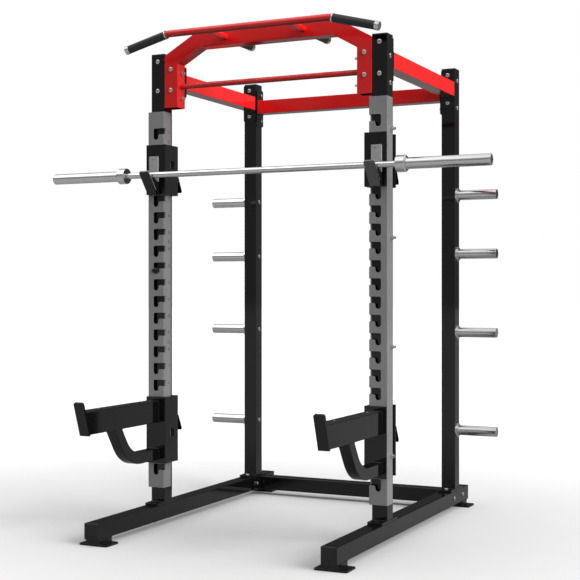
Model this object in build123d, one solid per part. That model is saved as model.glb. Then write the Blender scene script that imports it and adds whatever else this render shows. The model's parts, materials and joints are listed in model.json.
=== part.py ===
from build123d import *
import os
from math import cos, radians, sin, tan

# Power cage with two lift-off bar cups, two lift-off spotter arms and a barbell.
# Millimetres. X runs across the cage, Y from front to rear, Z up from the floor.
# Y values here count from the front face of the front uprights; the export step
# moves the whole cage so that its origin is the middle of its footprint.
# Every handed piece is made for the right (+X) side and mirrored for the left.

# Square tube and plate
TUBE = 72.0
TUBE_WALL = 3.0
TUBE_CORNER = 2.5
TUBE_INNER_CORNER = 1.0
PLATE = 8.0
PLATE_CORNER = 9.0

# Layout of the frame
UPRIGHT_X = 568.2
INNER_X = UPRIGHT_X - TUBE / 2
OUTER_X = UPRIGHT_X + TUBE / 2
REAR_Y = 963.0
UPRIGHT_TOP = 2254.0
RAIL_BOTTOM = 29.0
RAIL_TOP = RAIL_BOTTOM + TUBE
RAIL_MID = RAIL_BOTTOM + TUBE / 2
RAIL_FRONT = -557.0
RAIL_REAR = 1188.0
CAP_RIM = 4.0
CAP_DEPTH = 16.0
FOOT = (146.0, 100.0, 8.0)
FOOT_Y = (-496.0, 1127.0)
RISER_LENGTHS = (98.0, 76.0)
BASE_PLATE = 11.0
BASE_OVERHANG = 60.0
FLOOR_CROSS_Y = 1022.0
FLOOR_FLANGE = 200.0

# Bolts
BOLT_R = 6.0
HOLE_R = 6.5
HEAD_R = 11.0
HEAD_HEIGHT = 6.0
NUT_FLATS = 18.0
NUT_HEIGHT = 10.0
BOLT_STICK_OUT = 13.0
LONG_STICK_OUT = 22.0
BASE_BOLT_OFFSETS = (-30.0, TUBE + 30.0)
FLOOR_FLANGE_BOLTS_Y = (952.0, 1092.0)

# Top of the cage
ARCH_LEG_X = INNER_X - TUBE / 2
ARCH_LEG_BOTTOM = 1994.0
ARCH_KNEE_Z = 2222.0
ARCH_SHOULDER_X = 351.0
ARCH_TOP_MID = 2304.5
ARCH_FRONT_BOLTS_Z = (2176.0, 2076.0)
ARCH_SIDE_BOLTS_Z = (2158.0, 2038.0)
SIDE_BEAM_MID = 2146.0
SIDE_FLANGE_Z = (2048.0, 2246.0)
SIDE_FLANGE_BOLTS_Z = (2217.0, 2077.0)
REAR_BEAM_MID = 2126.0
REAR_FLANGE_Z = (2023.0, 2223.0)
REAR_FLANGE_BOLTS_Z = (2192.0, 2054.0)
REAR_FLANGE_BOLT_Y = REAR_Y + TUBE / 2
LOW_BAR_Z = 2095.5
LOW_BAR_R = 13.0
PULL_BAR_Y = -172.0
PULL_BAR_Z = 2304.5
PULL_BAR_R = 16.0
PULL_BAR_BEND = 60.0
PULL_BAR_STRAIGHT = 405.0
PULL_BAR_DROP = 14.5
PULL_BAR_END_X = 635.0
NEUTRAL_X = 200.0
NEUTRAL_R = 15.0
NEUTRAL_REAR = 270.0
GRIP_R = 19.0
GRIP_END = 20.0
GRIP_LENGTH = 200.0
GRIP_RING = 6.0
CAP_BORE = 5.0

# Slotted channel on each front upright
SHEET = 7.0
CHANNEL_HALF = TUBE / 2 + 0.25 + SHEET
CHANNEL_FRONT = -17.0
CHANNEL_REAR = 47.0
CHANNEL_Z = (181.5, 1975.0)
CHANNEL_BEND = 2.5
CHANNEL_INNER_BEND = 1.0
SLOT_COUNT = 21
SLOT_PITCH = 80.0
FIRST_SLOT_TOP = 296.0
SLOT_ENTRY = 29.0
SLOT_HALF = 13.25
SLOT_SEAT_DROP = 40.75
SLOT_RADIUS = 8.0
CHANNEL_BOLTS_Z = (395.0, 875.0, 1355.0, 1835.0)
CHANNEL_BOLT_Y = 27.0

# Lift-off brackets that hook on the channel
BRACKET_IN = 508.0
BRACKET_OUT = 612.0
BRACKET_FRONT = -33.0
BRACKET_REAR = 88.0
BRACKET_BEND = 3.0
PIN_R = 12.5
PIN_DROP = 41.1
PIN_END = -1.0
GUIDE_GAP = 0.3
GUIDE_INSET = 4.0
WINDOW_Y = (15.0, 48.0)
WINDOW_HEIGHT = 37.0
SCREW_R = 3.0
SCREW_HEAD_R = 5.0
SCREW_HEAD_HEIGHT = 2.2
WEB_SCREW_Y = 31.0

# Latch on the rear of each bracket
LATCH_Y = 95.0
LATCH_BARREL_R = 6.0
LATCH_BORE_R = 3.1
LATCH_PIN_R = 3.0
LATCH_PLATE = 4.0
LATCH_NOSE_OFFSET = 31.0
LATCH_SLOT = (24.0, 48.0)
LATCH_SLOT_BELOW = 6.0
LATCH_MID_X = 561.0
LATCH_TAB = 6.0

# Bar cup
CUP_Z = (1578.0, 1816.0)
CUP_SLOTS = (18, 20)
CUP_WINDOW_SLOT = 19
CUP_LATCH_Z = 1662.0
HOOK_WIDTH = 50.0
HOOK_FOOT_Y = -53.0
HOOK_TIP = (-131.0, 1677.0)
PAD = 8.0
PAD_WIDTH = 48.0
LIP_PAD = 4.0
WEAR_PAD_TOP = 1760.5
WEAR_PAD_SCREWS_Z = (1749.5, 1655.0)
SADDLE_TOP = 1655.0
SADDLE_REAR_TOP = 1640.0

# Spotter arm
ARM_BRACKET_Z = (301.0, 616.0)
ARM_SLOTS = (2, 5)
ARM_WINDOW_SLOT = 3
ARM_LATCH_Z = 513.0
ARM_WIDTH = 50.0
ARM_BOTTOM = 495.0
ARM_HEIGHT = 100.0
ARM_WALL = 4.0
STRIP = 5.0
STRIP_REAR = -44.0
STRIP_SCREWS_Y = (-142.0, -500.0)
STOP_FOOT = (-605.0, 489.0)
STOP_HEIGHT = 156.2
STOP_LEAN = 18.7
STOP_PLATE = 10.0
BRACE_TOP_Y = -377.0
BRACE_LEAN = 33.5
BRACE_MID_Z = 344.4
BRACE_DEPTH = 53.2
BRACE_BEND = 163.0

# Barbell
BAR_Y = -88.0
BAR_Z = 1666.5
BAR_R = 14.25
SLEEVE_R = 25.0
SLEEVE_BORE = 17.0
COLLAR_R = 37.0
COLLAR_X = (684.0, 728.0)
BAR_END = 1100.0
BAR_CAP = 8.0
BUSH_GAP = 0.05

# Storage pegs for plates
PEG_R = 25.0
PEG_LENGTH = 205.0
PEG_FLANGE_R = 37.0
PEG_FLANGE = 8.0
PEG_WALL = 4.0
PEG_PLUG = 34.0
PEG_RIM = 4.0
PEG_HEIGHTS = (408.0, 908.0, 1308.0, 1608.0)

STOP_TIP_Y = STOP_FOOT[0] - STOP_HEIGHT * sin(radians(STOP_LEAN))
FRONT_FACE_Y = -(STOP_TIP_Y + RAIL_REAR) / 2

ALONG_X = Rot(0, 90, 0)
ALONG_Y = Rot(-90, 0, 0)
X_DIR = Vector(1, 0, 0)
Y_DIR = Vector(0, 1, 0)
Z_DIR = Vector(0, 0, 1)

nodes = {}


# ---------------------------------------------------------------- basic shapes
def block(x, y, z):
    """Box between three pairs of limits."""
    size = (x[1] - x[0], y[1] - y[0], z[1] - z[0])
    return Pos((x[0] + x[1]) / 2, (y[0] + y[1]) / 2, (z[0] + z[1]) / 2) * Box(*size)


def rod(radius, start, direction, length):
    """Round bar from a point along a direction."""
    return extrude(Plane(origin=start, z_dir=direction) * Circle(radius), length)


def pipe(outer, inner, start, direction, length):
    """Round tube from a point along a direction."""
    ring = Circle(outer) - Circle(inner)
    return extrude(Plane(origin=start, z_dir=direction) * ring, length)


def square_tube(length, width=TUBE, depth=TUBE, wall=TUBE_WALL):
    """Rectangular tube standing on the origin along +Z."""
    outer = RectangleRounded(width, depth, TUBE_CORNER)
    inner = RectangleRounded(width - 2 * wall, depth - 2 * wall, TUBE_INNER_CORNER)
    return extrude(outer - inner, length)


def flange_xz(x, z, y):
    """Bolted flange standing across Y, with rounded corners."""
    outline = RectangleRounded(x[1] - x[0], z[1] - z[0], PLATE_CORNER)
    plane = Plane(origin=((x[0] + x[1]) / 2, y[1], (z[0] + z[1]) / 2), x_dir=X_DIR, z_dir=-Y_DIR)
    return extrude(plane * outline, y[1] - y[0])


def flange_yz(y, z, x):
    """Bolted flange standing across X, with rounded corners."""
    outline = RectangleRounded(y[1] - y[0], z[1] - z[0], PLATE_CORNER)
    plane = Plane(origin=(x[0], (y[0] + y[1]) / 2, (z[0] + z[1]) / 2), x_dir=Y_DIR, z_dir=X_DIR)
    return extrude(plane * outline, x[1] - x[0])


def offset_points(points, distance):
    """Corners of a polyline moved to the left of its direction, with mitred turns."""
    corners = [Vector(*p) for p in points]
    runs = [(b - a).normalized() for a, b in zip(corners, corners[1:])]
    normals = [Vector(-run.Y, run.X) for run in runs]
    moved = [corners[0] + normals[0] * distance]
    for corner, before, after in zip(corners[1:-1], normals, normals[1:]):
        moved.append(corner + (before + after) * (distance / (1 + before.dot(after))))
    moved.append(corners[-1] + normals[-1] * distance)
    return moved


def bent_strip(points, near, far):
    """Flat face between two offsets of one polyline."""
    outline = offset_points(points, near) + offset_points(points, far)[::-1]
    return make_face(Polyline(*outline, close=True))


def bolt_and_nut(start, direction, grip, stick_out=BOLT_STICK_OUT):
    """Button-head bolt with its head at the start of the grip and a nut at the far end."""
    plane = Plane(origin=start, z_dir=direction)
    head = Pos(0, 0, -HEAD_HEIGHT / 2) * Cylinder(HEAD_R, HEAD_HEIGHT)
    head = fillet(head.edges().group_by(Axis.Z)[0], HEAD_HEIGHT * 0.7)
    socket = extrude(Pos(0, 0, -HEAD_HEIGHT) * RegularPolygon(4.2, 6), HEAD_HEIGHT * 0.6)
    shank = extrude(Circle(BOLT_R), grip + stick_out)
    shank = chamfer(shank.edges().group_by(Axis.Z)[-1], 1.0)
    nut_outline = RegularPolygon(NUT_FLATS / 2, 6, major_radius=False) - Circle(BOLT_R + 0.05)
    nut = Pos(0, 0, grip) * extrude(nut_outline, NUT_HEIGHT)
    return [plane.location * (head + shank - socket), plane.location * nut]


def screw(start, direction, length):
    """Small pan-head screw; the head stands proud behind the start point."""
    plane = Plane(origin=start, z_dir=direction)
    head = extrude(Circle(SCREW_HEAD_R), -SCREW_HEAD_HEIGHT)
    head = fillet(head.edges().group_by(Axis.Z)[0], 1.2)
    return plane.location * (head + extrude(Circle(SCREW_R), length))


def left(solid):
    return mirror(solid, Plane.YZ)


def both_sides(solids):
    return list(solids) + [left(solid) for solid in solids]


def keep(name, *solids):
    nodes[name] = list(solids)


def keep_pair(name, *solids):
    """Keep a right-hand piece and its mirror image, each in a node of its own."""
    keep("right_" + name, *solids)
    keep("left_" + name, *[left(solid) for solid in solids])


# ---------------------------------------------------------------- floor frame
def tube_cap(location):
    """Push-in tube cap lying on the tube's end face, plug downwards."""
    rim = extrude(RectangleRounded(TUBE, TUBE, TUBE_CORNER), CAP_RIM)
    rim = chamfer(rim.edges().group_by(Axis.Z)[-1], 1.5)
    side = TUBE - 2 * TUBE_WALL - 0.2
    plug = extrude(RectangleRounded(side, side, TUBE_INNER_CORNER), -CAP_DEPTH)
    hollow = extrude(RectangleRounded(side - 6, side - 6, 1.5), -CAP_DEPTH)
    return location * (rim + plug - hollow)


def base_bolt_places():
    return [base + offset for base in (0.0, REAR_Y) for offset in BASE_BOLT_OFFSETS]


def floor_rail():
    length = RAIL_REAR - RAIL_FRONT - 2 * CAP_RIM
    rail = Pos(UPRIGHT_X, RAIL_FRONT + CAP_RIM, RAIL_MID) * ALONG_Y * square_tube(length)
    holes = [rod(HOLE_R, (UPRIGHT_X, y, 0), Z_DIR, RAIL_TOP + 1) for y in base_bolt_places()]
    for y in FLOOR_FLANGE_BOLTS_Y:
        holes.append(rod(HOLE_R, (INNER_X - 1, y, RAIL_MID), X_DIR, TUBE + 2))
    return rail.cut(*holes)


def rail_feet():
    feet = []
    for y, riser_length in zip(FOOT_Y, RISER_LENGTHS):
        plate = Pos(UPRIGHT_X, y, 0) * extrude(RectangleRounded(FOOT[0], FOOT[1], 10), FOOT[2])
        riser = Pos(UPRIGHT_X, y, FOOT[2]) * extrude(
            RectangleRounded(TUBE, riser_length, TUBE_CORNER), RAIL_BOTTOM - FOOT[2])
        feet.append(plate + riser)
    return feet


def rear_floor_crossmember():
    half = INNER_X - PLATE
    tube = Pos(-half, FLOOR_CROSS_Y, RAIL_MID) * ALONG_X * square_tube(2 * half)
    y = (FLOOR_CROSS_Y - FLOOR_FLANGE / 2, FLOOR_CROSS_Y + FLOOR_FLANGE / 2)
    flange = flange_yz(y, (RAIL_BOTTOM, RAIL_TOP), (half, INNER_X))
    for bolt_y in FLOOR_FLANGE_BOLTS_Y:
        flange -= rod(HOLE_R, (half - 1, bolt_y, RAIL_MID), X_DIR, PLATE + 2)
    return tube + flange + left(flange)


def floor_frame_bolts():
    bolts = []
    for y in base_bolt_places():
        top = RAIL_TOP + BASE_PLATE
        bolts += bolt_and_nut((UPRIGHT_X, y, top), -Z_DIR, top - RAIL_BOTTOM)
    for y in FLOOR_FLANGE_BOLTS_Y:
        bolts += bolt_and_nut((OUTER_X, y, RAIL_MID), -X_DIR, TUBE + PLATE)
    return both_sides(bolts)


# ------------------------------------------------------------------- uprights
def upright(front_y):
    """Square post welded on its long base plate."""
    bottom = RAIL_TOP + BASE_PLATE
    post = Pos(UPRIGHT_X, front_y + TUBE / 2, bottom) * square_tube(UPRIGHT_TOP - CAP_RIM - bottom)
    plate = block((INNER_X, OUTER_X), (front_y - BASE_OVERHANG, front_y + TUBE + BASE_OVERHANG),
                  (RAIL_TOP, bottom))
    plate = fillet(plate.edges().filter_by(Axis.Z), 6)
    holes = [rod(HOLE_R, (UPRIGHT_X, front_y + offset, RAIL_TOP - 1), Z_DIR, BASE_PLATE + 2)
             for offset in BASE_BOLT_OFFSETS]
    for z in SIDE_FLANGE_BOLTS_Z:
        holes.append(rod(HOLE_R, (UPRIGHT_X, front_y - 1, z), Y_DIR, TUBE + 2))
    return (post + plate).cut(*holes)


def slot_top(number):
    return FIRST_SLOT_TOP + SLOT_PITCH * (number - 1)


def front_upright():
    places = [(CHANNEL_BOLT_Y, z) for z in CHANNEL_BOLTS_Z] + [(TUBE / 2, z) for z in ARCH_SIDE_BOLTS_Z]
    holes = [rod(HOLE_R, (INNER_X - 1, y, z), X_DIR, TUBE + 2) for y, z in places]
    for number in range(1, SLOT_COUNT + 1):
        low = slot_top(number) + LATCH_NOSE_OFFSET - LATCH_SLOT_BELOW
        holes.append(block((LATCH_MID_X - LATCH_SLOT[0] / 2, LATCH_MID_X + LATCH_SLOT[0] / 2),
                           (TUBE - 2 * TUBE_WALL, TUBE + 1), (low, low + LATCH_SLOT[1])))
    return upright(0.0).cut(*holes)


def rear_upright():
    holes = [rod(HOLE_R, (INNER_X - 1, REAR_FLANGE_BOLT_Y, z), X_DIR, TUBE + 2)
             for z in REAR_FLANGE_BOLTS_Z + PEG_HEIGHTS]
    return upright(REAR_Y).cut(*holes)


def slot_outline():
    """One L-slot: entry at the inner edge, round seat on x = 0, top edge at y = 0."""
    reach = CHANNEL_HALF + 5
    entry = Pos((SLOT_HALF - reach) / 2, -SLOT_ENTRY / 2) * Rectangle(SLOT_HALF + reach, SLOT_ENTRY)
    drop = Pos(0, -SLOT_SEAT_DROP / 2) * Rectangle(2 * SLOT_HALF, SLOT_SEAT_DROP)
    outline = entry + drop + Pos(0, -SLOT_SEAT_DROP) * Circle(SLOT_HALF)
    corners = outline.vertices()
    turns = [corners.sort_by_distance((SLOT_HALF, 0, 0))[0],
             corners.sort_by_distance((-SLOT_HALF, -SLOT_ENTRY, 0))[0]]
    return fillet(turns, SLOT_RADIUS)


def slot_channel():
    """Bent sheet channel round the front of the upright, with a ladder of L-slots."""
    outer = Pos(0, (CHANNEL_FRONT + CHANNEL_REAR) / 2) * Rectangle(
        2 * CHANNEL_HALF, CHANNEL_REAR - CHANNEL_FRONT)
    outer = fillet(outer.vertices().group_by(Axis.Y)[0], CHANNEL_BEND)
    inner_half = CHANNEL_HALF - SHEET
    inner_front = CHANNEL_FRONT + SHEET
    inner = Pos(0, (inner_front + CHANNEL_REAR + 10) / 2) * Rectangle(
        2 * inner_half, CHANNEL_REAR + 10 - inner_front)
    inner = fillet(inner.vertices().group_by(Axis.Y)[0], CHANNEL_INNER_BEND)
    body = Pos(UPRIGHT_X, 0, CHANNEL_Z[0]) * extrude(outer - inner, CHANNEL_Z[1] - CHANNEL_Z[0])
    front_cut = extrude(Plane(origin=(UPRIGHT_X, inner_front + 1, 0), x_dir=X_DIR, z_dir=-Y_DIR)
                        * slot_outline(), SHEET + 2)
    side_cut = block((UPRIGHT_X - CHANNEL_HALF - 1, UPRIGHT_X - inner_half + 1),
                     (CHANNEL_FRONT - 1, 0), (-SLOT_ENTRY, 0))
    side_cut = fillet(side_cut.edges().filter_by(Axis.X).group_by(Axis.Y)[-1], 5)
    cuts = []
    for number in range(1, SLOT_COUNT + 1):
        cuts += [Pos(0, 0, slot_top(number)) * cut for cut in (front_cut, side_cut)]
    for z in CHANNEL_BOLTS_Z:
        cuts.append(rod(HOLE_R, (UPRIGHT_X, CHANNEL_BOLT_Y, z), X_DIR, TUBE))
        cuts.append(countersunk_head(z, 0.1))
    return body.cut(*cuts)


def countersunk_head(z, gap):
    """Countersunk head that lies flush in the channel's inner wall."""
    plane = Plane(origin=(UPRIGHT_X - CHANNEL_HALF, CHANNEL_BOLT_Y, z), z_dir=X_DIR)
    cone = Pos(0, 0, SHEET / 2) * Cone(HEAD_R + gap, BOLT_R + gap, SHEET)
    return plane.location * (cone + extrude(Circle(BOLT_R + gap), SHEET + 1))


def channel_bolts():
    bolts = []
    for z in CHANNEL_BOLTS_Z:
        start = (UPRIGHT_X - CHANNEL_HALF, CHANNEL_BOLT_Y, z)
        reach = 2 * CHANNEL_HALF
        shank = rod(BOLT_R, start, X_DIR, reach + LONG_STICK_OUT)
        socket = rod(3.5, start, X_DIR, 3)
        nut = bolt_and_nut(start, X_DIR, reach)[1]
        bolts += [countersunk_head(z, 0) + shank - socket, nut]
    return both_sides(bolts)


# ----------------------------------------------------------------- top of cage
def front_arch():
    """Bent cross member: two bolted legs, two sloping runs and the top beam."""
    path = [(ARCH_LEG_X, ARCH_LEG_BOTTOM), (ARCH_LEG_X, ARCH_KNEE_Z),
            (ARCH_SHOULDER_X, ARCH_TOP_MID), (-ARCH_SHOULDER_X, ARCH_TOP_MID),
            (-ARCH_LEG_X, ARCH_KNEE_Z), (-ARCH_LEG_X, ARCH_LEG_BOTTOM)]
    half = TUBE / 2
    outer = extrude(Plane.XZ * bent_strip(path, -half, half), -TUBE)
    long_edges = [e for e in outer.edges() if abs(e.center().Y % TUBE) < 0.01]
    ends = [e for e in long_edges if abs(e.center().Z - ARCH_LEG_BOTTOM) < 0.01]
    outer = fillet([e for e in long_edges if e not in ends], TUBE_CORNER)
    path[0] = (ARCH_LEG_X, ARCH_LEG_BOTTOM - 1)
    path[-1] = (-ARCH_LEG_X, ARCH_LEG_BOTTOM - 1)
    bore = half - TUBE_WALL
    inner = extrude(Plane.XZ * bent_strip(path, -bore, bore), -2 * bore)
    arch = outer - Pos(0, TUBE_WALL, 0) * inner
    holes = []
    for z in ARCH_FRONT_BOLTS_Z:
        holes.append(rod(HOLE_R, (ARCH_LEG_X, -1, z), Y_DIR, TUBE + 2))
    for z in ARCH_SIDE_BOLTS_Z:
        holes.append(rod(HOLE_R, (ARCH_LEG_X - half - 1, half, z), X_DIR, TUBE + 2))
    holes.append(rod(NEUTRAL_R + 0.1, (NEUTRAL_X, -1, PULL_BAR_Z), Y_DIR, TUBE + 2))
    return arch.cut(*both_sides(holes))


def side_top_beam():
    length = REAR_Y - TUBE - 2 * PLATE
    return Pos(UPRIGHT_X, TUBE + PLATE, SIDE_BEAM_MID) * ALONG_Y * square_tube(length)


def rear_top_beam():
    half = INNER_X - PLATE
    return Pos(-half, REAR_FLANGE_BOLT_Y, REAR_BEAM_MID) * ALONG_X * square_tube(2 * half)


def top_beam_flanges():
    """Bolted flanges welded on the ends of the three beams; the front ones also back the arch."""
    front, rear, inner = TUBE + PLATE, REAR_Y - PLATE, INNER_X - PLATE
    front_flange = flange_xz((INNER_X, OUTER_X), SIDE_FLANGE_Z, (TUBE, front))
    front_flange += flange_xz((ARCH_LEG_X - TUBE / 2 - 4, OUTER_X), (SIDE_FLANGE_Z[0], 2196),
                              (TUBE, front))
    rear_flange = flange_xz((INNER_X, OUTER_X), SIDE_FLANGE_Z, (rear, REAR_Y))
    for z in SIDE_FLANGE_BOLTS_Z:
        front_flange -= rod(HOLE_R, (UPRIGHT_X, TUBE - 1, z), Y_DIR, PLATE + 2)
        rear_flange -= rod(HOLE_R, (UPRIGHT_X, rear - 1, z), Y_DIR, PLATE + 2)
    for z in ARCH_FRONT_BOLTS_Z:
        front_flange -= rod(HOLE_R, (ARCH_LEG_X, TUBE - 1, z), Y_DIR, PLATE + 2)
    inner_flange = flange_yz((REAR_Y, REAR_Y + TUBE), REAR_FLANGE_Z, (inner, INNER_X))
    for z in REAR_FLANGE_BOLTS_Z:
        inner_flange -= rod(HOLE_R, (inner - 1, REAR_FLANGE_BOLT_Y, z), X_DIR, PLATE + 2)
    return both_sides([front_flange, rear_flange, inner_flange])


def top_frame_bolts():
    bolts = []
    for z in SIDE_FLANGE_BOLTS_Z:
        bolts += bolt_and_nut((UPRIGHT_X, 0, z), Y_DIR, TUBE + PLATE)
        bolts += bolt_and_nut((UPRIGHT_X, REAR_Y - PLATE, z), Y_DIR, TUBE + PLATE)
    for z in ARCH_FRONT_BOLTS_Z:
        bolts += bolt_and_nut((ARCH_LEG_X, 0, z), Y_DIR, TUBE + PLATE)
    for z in ARCH_SIDE_BOLTS_Z:
        bolts += bolt_and_nut((OUTER_X, TUBE / 2, z), -X_DIR, 2 * TUBE, LONG_STICK_OUT)
    for z in REAR_FLANGE_BOLTS_Z:
        bolts += bolt_and_nut((OUTER_X, REAR_FLANGE_BOLT_Y, z), -X_DIR, TUBE + PLATE)
    return both_sides(bolts)


def tube_end_caps():
    caps = []
    for y in (TUBE / 2, REAR_Y + TUBE / 2):
        caps.append(tube_cap(Pos(UPRIGHT_X, y, UPRIGHT_TOP - CAP_RIM)))
    caps.append(tube_cap(Pos(UPRIGHT_X, RAIL_REAR - CAP_RIM, RAIL_MID) * ALONG_Y))
    caps.append(tube_cap(Pos(UPRIGHT_X, RAIL_FRONT + CAP_RIM, RAIL_MID) * Rot(90, 0, 0)))
    return both_sides(caps)


def grip_run():
    """Start point and direction of the sloping end of the pull-up bar."""
    slope = radians(PULL_BAR_DROP)
    return Vector(PULL_BAR_STRAIGHT, PULL_BAR_Y, PULL_BAR_Z), Vector(cos(slope), 0, -sin(slope))


def front_pullup_bar():
    """Long pull-up bar with sloping ends, welded to two bars that run back through the arch."""
    start, slope = grip_run()
    end = start + slope * ((PULL_BAR_END_X - PULL_BAR_STRAIGHT) / slope.X - GRIP_END + CAP_BORE)
    turned = [Vector(-point.X, point.Y, point.Z) for point in (end, start)]
    path = FilletPolyline(*turned, start, end, radius=PULL_BAR_BEND)
    bar = sweep(Plane(origin=path @ 0, z_dir=path % 0) * Circle(PULL_BAR_R), path)
    neutral = rod(NEUTRAL_R, (NEUTRAL_X, PULL_BAR_Y, PULL_BAR_Z), Y_DIR,
                  NEUTRAL_REAR - PULL_BAR_Y - GRIP_END + CAP_BORE)
    return bar + neutral + left(neutral)


def pullup_grips():
    """Rubber sleeves on the sloping ends and on the rear of the neutral bars."""
    start, slope = grip_run()
    run = (PULL_BAR_END_X - PULL_BAR_STRAIGHT) / slope.X
    sleeves = [pipe(GRIP_R, PULL_BAR_R + 0.1, start + slope * (run - GRIP_END - GRIP_LENGTH), slope,
                    GRIP_LENGTH)]
    neutral_start = (NEUTRAL_X, TUBE + 12, PULL_BAR_Z)
    sleeves.append(pipe(GRIP_R, NEUTRAL_R + 0.1, neutral_start, Y_DIR,
                        NEUTRAL_REAR - GRIP_END - TUBE - 12))
    return both_sides([fillet(sleeve.edges().filter_by(GeomType.CIRCLE), 1.0) for sleeve in sleeves])


def grip_end_caps():
    """Metal caps on the ends of the grips, and the ring at each bend of the bar."""
    start, slope = grip_run()
    run = (PULL_BAR_END_X - PULL_BAR_STRAIGHT) / slope.X
    ends = [(start + slope * (run - GRIP_END), slope, PULL_BAR_R),
            (Vector(NEUTRAL_X, NEUTRAL_REAR - GRIP_END, PULL_BAR_Z), Y_DIR, NEUTRAL_R)]
    caps = []
    for point, direction, bar_r in ends:
        cap = rod(GRIP_R + 1, point, direction, GRIP_END)
        cap = fillet(cap.edges().filter_by(GeomType.CIRCLE), 2.0)
        caps.append(cap - rod(bar_r + 0.1, point, direction, CAP_BORE + 0.2))
    ring_start = start + slope * (run - GRIP_END - GRIP_LENGTH - GRIP_RING)
    caps.append(pipe(GRIP_R + 1, PULL_BAR_R + 0.1, ring_start, slope, GRIP_RING))
    return both_sides(caps)


# --------------------------------------------------------------- storage pegs
def storage_pegs():
    pegs = []
    for z in PEG_HEIGHTS:
        start = (OUTER_X, REAR_FLANGE_BOLT_Y, z)
        peg = rod(PEG_R, start, X_DIR, PEG_LENGTH)
        peg -= rod(PEG_R - PEG_WALL, (OUTER_X + PEG_PLUG, REAR_FLANGE_BOLT_Y, z), X_DIR, PEG_LENGTH)
        flange = rod(PEG_FLANGE_R, start, X_DIR, PEG_FLANGE)
        flange = fillet(flange.edges().group_by(Axis.X)[-1], 2.0)
        peg += flange
        pegs.append(peg - rod(BOLT_R + 0.1, start, X_DIR, PEG_PLUG + 1))
    return both_sides(pegs)


def storage_peg_caps():
    caps = []
    for z in PEG_HEIGHTS:
        end = (OUTER_X + PEG_LENGTH, REAR_FLANGE_BOLT_Y, z)
        rim = rod(PEG_R, end, X_DIR, PEG_RIM)
        rim = fillet(rim.edges().group_by(Axis.X)[-1], 1.5)
        caps.append(rim + rod(PEG_R - PEG_WALL - 0.1, end, -X_DIR, 12))
    return both_sides(caps)


def storage_peg_bolts():
    bolts = []
    for z in PEG_HEIGHTS:
        start = (INNER_X, REAR_FLANGE_BOLT_Y, z)
        bolts.append(bolt_and_nut(start, X_DIR, TUBE + PEG_PLUG - BOLT_STICK_OUT - 2)[0])
    return both_sides(bolts)


# ---------------------------------------------------------- lift-off brackets
def bracket_shell(z):
    """C-shaped bracket: front flange, inner web and rear flange, open to the outside."""
    x = (BRACKET_IN - UPRIGHT_X, BRACKET_OUT - UPRIGHT_X)
    outer = Pos((x[0] + x[1]) / 2, (BRACKET_FRONT + BRACKET_REAR) / 2) * Rectangle(
        x[1] - x[0], BRACKET_REAR - BRACKET_FRONT)
    outer = fillet(outer.vertices().group_by(Axis.X)[0], BRACKET_BEND)
    inner_x = (x[0] + PLATE, x[1] + 10)
    inner = Pos((inner_x[0] + inner_x[1]) / 2, (BRACKET_FRONT + BRACKET_REAR) / 2) * Rectangle(
        inner_x[1] - inner_x[0], BRACKET_REAR - BRACKET_FRONT - 2 * PLATE)
    return Pos(UPRIGHT_X, 0, z[0]) * extrude(outer - inner, z[1] - z[0])


def bracket_guide(z):
    """Plastic U-liner that keeps the bracket off the channel and the post."""
    low, high = z[0] + GUIDE_INSET, z[1] - GUIDE_INSET
    outer = block((BRACKET_IN + PLATE, BRACKET_OUT - 3),
                  (BRACKET_FRONT + PLATE, BRACKET_REAR - PLATE), (low, high))
    room = block((UPRIGHT_X - CHANNEL_HALF - GUIDE_GAP, BRACKET_OUT),
                 (CHANNEL_FRONT - GUIDE_GAP, TUBE + GUIDE_GAP), (low - 1, high + 1))
    return outer - room


def bracket_cuts(window_slot, latch_z):
    """Number window in the web and nose opening in the rear flange, through the guide too."""
    mid = slot_top(window_slot) - 13
    window = block((BRACKET_IN - 1, UPRIGHT_X - CHANNEL_HALF), WINDOW_Y,
                   (mid - WINDOW_HEIGHT / 2, mid + WINDOW_HEIGHT / 2))
    window = fillet(window.edges().filter_by(Axis.X), 4)
    nose = nose_height(latch_z)
    opening = block((LATCH_MID_X - 13, LATCH_MID_X + 13), (TUBE, BRACKET_REAR + 1),
                    (nose - 7, nose + 20))
    return window, opening


def locating_pins(slots):
    """Two pins behind the front flange that drop into the seats of two L-slots."""
    pins = []
    for number in slots:
        start = (UPRIGHT_X, BRACKET_FRONT + PLATE, slot_top(number) - PIN_DROP)
        pin = rod(PIN_R, start, Y_DIR, PIN_END - BRACKET_FRONT - PLATE)
        pins.append(chamfer(pin.edges().group_by(Axis.Y)[-1], 1.5))
    return pins


def pin_holes(slots):
    return [rod(PIN_R + 0.2, (UPRIGHT_X, BRACKET_FRONT + PLATE - 1, slot_top(n) - PIN_DROP),
                Y_DIR, 12) for n in slots]


def web_screw_places(z):
    return [z[0] + 15, z[1] - 15]


def web_screws(z):
    return [screw((BRACKET_IN, WEB_SCREW_Y, height), X_DIR, PLATE + 5) for height in web_screw_places(z)]


def web_screw_holes(z):
    return [rod(SCREW_R + 0.1, (BRACKET_IN - 1, WEB_SCREW_Y, height), X_DIR, PLATE + 6.2)
            for height in web_screw_places(z)]


# --------------------------------------------------------------------- latches
def nose_height(hinge_z):
    """Height of the latch nose: level with the next opening of the ladder in the post."""
    ladder = FIRST_SLOT_TOP + LATCH_NOSE_OFFSET
    steps = int((hinge_z - ladder) // SLOT_PITCH) + 1
    return ladder + SLOT_PITCH * steps


def hinge_ears(hinge_z):
    ears = []
    for x in ((520.0, 526.0), (598.0, 604.0)):
        ear = block(x, (BRACKET_REAR, LATCH_Y + 7), (hinge_z - 7, hinge_z + 7))
        ear = fillet(ear.edges().filter_by(Axis.X).group_by(Axis.Y)[-1], 5)
        ears.append(ear - rod(LATCH_PIN_R + 0.02, (x[0] - 1, LATCH_Y, hinge_z), X_DIR, 8))
    return ears


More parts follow.
